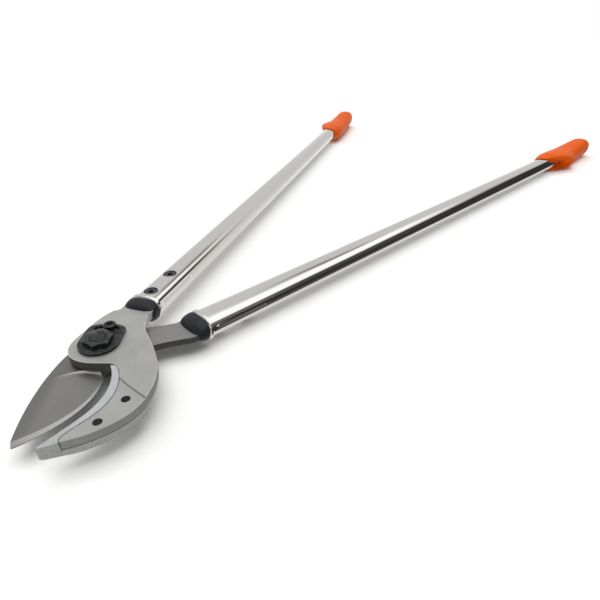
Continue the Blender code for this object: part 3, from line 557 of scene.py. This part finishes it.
# %% [markdown]
# ## The floor
#
# The tool lies on a matt white sheet. The sheet has to come out pure white where it is lit and
# still keep the soft grey shadow by the handles. A camera ray therefore sees the sheet a tenth
# brighter than white, while every other ray sees an ordinary pale one.
#
# Mirror rays pass through the sheet, because the room below holds what they should meet there. A
# second small sheet under the head is there for them alone: it lets the walls of the blade and the
# anvil mirror their own shadow and not the open room.

# %% Lay the floor
SHEET_SEEN = (1.10, 1.10, 1.10 * 0.985)
SHEET_REAL = (0.92, 0.92, 0.91)
SHEET_UNDER = 0.0002  # metres from the tool down to the sheet


def lay_sheet(name, low, high):
    mesh = bpy.data.meshes.new(name)
    corners = [(*low, 0), (high[0], low[1], 0), (*high, 0), (low[0], high[1], 0)]
    mesh.from_pydata(corners, [], [(0, 1, 2, 3)])
    sheet = bpy.data.objects.new(name, mesh)
    bpy.context.scene.collection.objects.link(sheet)
    made = new_finish("white_sheet")
    seen = made.node("LightPath", {}, {}, "Is Camera Ray")
    matt = made.node("BsdfDiffuse", {}, {"Color": made.blend(seen, SHEET_REAL, SHEET_SEEN)})
    made.node("OutputMaterial", {}, {"Surface": matt})
    mesh.materials.append(made.owner)
    sheet.location.z = cad_box[0][2] - SHEET_UNDER
    return sheet


floor = lay_sheet("floor", (-8, -8), (8, 8))
floor.visible_glossy = False
under_head = lay_sheet("under_head", (-0.12, -0.14), (0.16, 0.045))
under_head.visible_camera = False
under_head.visible_diffuse = False
under_head.visible_shadow = False
print("floor at", round(1000 * floor.location.z, 2), "mm")

# %% [markdown]
# ## What the polished tubes mirror
#
# A polished tube shows the room as long bands, so the bands tell what stands in the room. The
# world shader holds it by two angles of a ray: its turn, from straight ahead to the right, and its
# lift over the horizon.
#
# - The card is a tall black board on the right. It draws the black band along each flank. It
#   starts further to the right near the floor, and its foot slopes down to the right.
# - The ceiling is brightest on the right, and a dark beam crosses it on the left.
# - Low on the left it is bright, and the wall behind is dim above eye level.
#
# Only mirror rays see all this. The camera sees plain white, and what the room gives as diffuse
# light is even.

# %% What stands in the room
# Each edge is soft, so it has two angles in degrees: where it starts and where it ends.
HORIZON = (-2, 16)  # below the horizon
OVERHEAD = (48, 64)
CEILING = (27, 38)
CEILING_SIDE = (-14, 8)
BEAM_TURN = (-30, -18), (-8, 0)
BEAM_LIFT = (33, 37), (42, 47)
LOW_LEFT_TURN = (0, 12)
LOW_LEFT_LIFT = (-34, -22), (-4, 17)
BACK_TURN = (112, 140)
BACK_LIFT = (14, 24), (48, 64)
CARD_END = (100, 125)
CARD_TOP = (22, 33)

WALL_TONE = (0.61, 0.60, 0.595)
FLOOR_TONE = (0.72, 0.71, 0.685)
OVERHEAD_TONE = (0.95, 0.95, 0.95)
CEILING_TONE = (1.12, 1.12, 1.12)
BEAM_TONE = (0.28, 0.265, 0.25)
LOW_LEFT_TONE = (1.08, 1.08, 1.07)
BACK_TONE = (0.15, 0.15, 0.147)
CARD_LIGHT = (1, 0.98, 0.95)  # the tint of the little light that the card gives
GLOW_LOW = (0.31, 0.31, 0.305)
GLOW_HIGH = (0.34, 0.34, 0.34)


def card_mask(turn, lift):
    start = lift.step(6, 14, to_low=24, to_high=10)
    foot = -17 - (turn - 28) * 0.55
    mask = (turn - start).step(0, 10) * (1 - turn.step(*CARD_END)) * (1 - lift.step(*CARD_TOP))
    return mask * (lift - foot).step(-5, 5)


def card_tone(room, turn, lift):
    light = turn.step(44, 56) * 0.03 + turn.step(64, 72) * 0.07
    return room.blend(0.033 + light * lift.step(-18, -8), (0, 0, 0), CARD_LIGHT)


def mirrored_room(room, turn, lift):
    ceiling = lift.step(*CEILING) * (1 - lift.step(62, 80) * 0.4) * turn.step(*CEILING_SIDE)
    low_left = (-turn).step(*LOW_LEFT_TURN) * lift.band(*LOW_LEFT_LIFT)
    back = abs(turn).step(*BACK_TURN) * lift.band(*BACK_LIFT)
    tone = room.blend((-lift).step(*HORIZON), WALL_TONE, FLOOR_TONE)
    tone = room.blend(low_left, tone, LOW_LEFT_TONE)
    tone = room.blend(lift.step(*OVERHEAD), tone, OVERHEAD_TONE)
    tone = room.blend(ceiling, tone, CEILING_TONE)
    tone = room.blend(turn.band(*BEAM_TURN) * lift.band(*BEAM_LIFT), tone, BEAM_TONE)
    tone = room.blend(back, tone, BACK_TONE)
    return room.blend(card_mask(turn, lift), tone, card_tone(room, turn, lift))


print("room planned")

# %% Build the room
world = bpy.data.worlds.new("room")
bpy.context.scene.world = world
room = Finish(world)
way = room.node("TexCoord", {}, {}, "Generated")
turn = way.maths("ARCTAN2", way.part("X"), way.part("Y")) * (180 / math.pi)
lift = way.maths("ARCSINE", way.part("Z")) * (180 / math.pi)
mirror_ray = room.node("LightPath", {}, {}, "Is Glossy Ray")
camera_ray = room.node("LightPath", {}, {}, "Is Camera Ray")
glow = room.blend(lift.step(0, 40), GLOW_LOW, GLOW_HIGH)
tone = room.blend(mirror_ray, glow, mirrored_room(room, turn, lift))
tone = room.blend(camera_ray, tone, (1.0, 1.0, 1.0))
light = room.node("Background", {}, {"Color": tone, "Strength": 1.0})
room.node("OutputWorld", {}, {"Surface": light})
print("room ready,", len(room.tree.nodes), "nodes")

# %% [markdown]
# ## The lamps
#
# The shadows lie under each handle, reach a little to the right and are soft. So the main light
# comes from almost straight above, spread over sixty degrees, and a weaker one from high on the
# left. Both are sun lamps, whose light doesn't fall off with distance: the sheet stays as white at
# the horizon as it is by the jaws.

# %% Hang the lamps
def hang_lamp(name, at, spread, share):
    """A lamp that gives this share of a white sheet's light, spread over so many degrees."""
    lamp = bpy.data.lights.new(name, "SUN")
    lamp.angle = math.radians(spread)
    lamp.energy = share * math.pi
    made = bpy.data.objects.new(name, lamp)
    made.location = at
    made.rotation_mode = "QUATERNION"
    made.rotation_quaternion = Vector(at).to_track_quat("Z", "Y")
    made.visible_glossy = False
    bpy.context.scene.collection.objects.link(made)
    return made


side = hang_lamp("side", at=(-2.0, -0.2, 1.6), spread=50, share=0.20)
top = hang_lamp("top", at=(-0.1, 0.3, 2.3), spread=60, share=0.55)
print("lamps", side.name, "and", top.name)

# %% [markdown]
# ## The camera
#
# The camera stands low at the right of the jaws and looks along the handles, with a wide lens that
# makes the jaws large and the grips small. Its place and its turn were solved from the tool's own
# length and from the lines of the two tubes.

# %% Set the camera
CAMERA_AT = (0.233168, -0.144759, 0.2082)
CAMERA_RIGHT = (0.86561, 0.50049, 0.01515)
CAMERA_ABOVE = (-0.27421, 0.44851, 0.85068)
LENS = 27.546  # millimetres
SENSOR = 36


def set_camera():
    lens = bpy.data.cameras.new("camera")
    lens.lens = LENS
    lens.sensor_width = SENSOR
    lens.clip_start = 0.01
    lens.clip_end = 40
    right, above = Vector(CAMERA_RIGHT), Vector(CAMERA_ABOVE)
    turned = Matrix((right, above, right.cross(above))).transposed()
    made = bpy.data.objects.new("camera", lens)
    made.matrix_world = Matrix.Translation(CAMERA_AT) @ turned.to_4x4()
    bpy.context.scene.collection.objects.link(made)
    bpy.context.scene.camera = made
    return made


camera = set_camera()
bpy.context.scene.view_settings.view_transform = "Standard"
print("camera at", [round(v, 4) for v in camera.location])
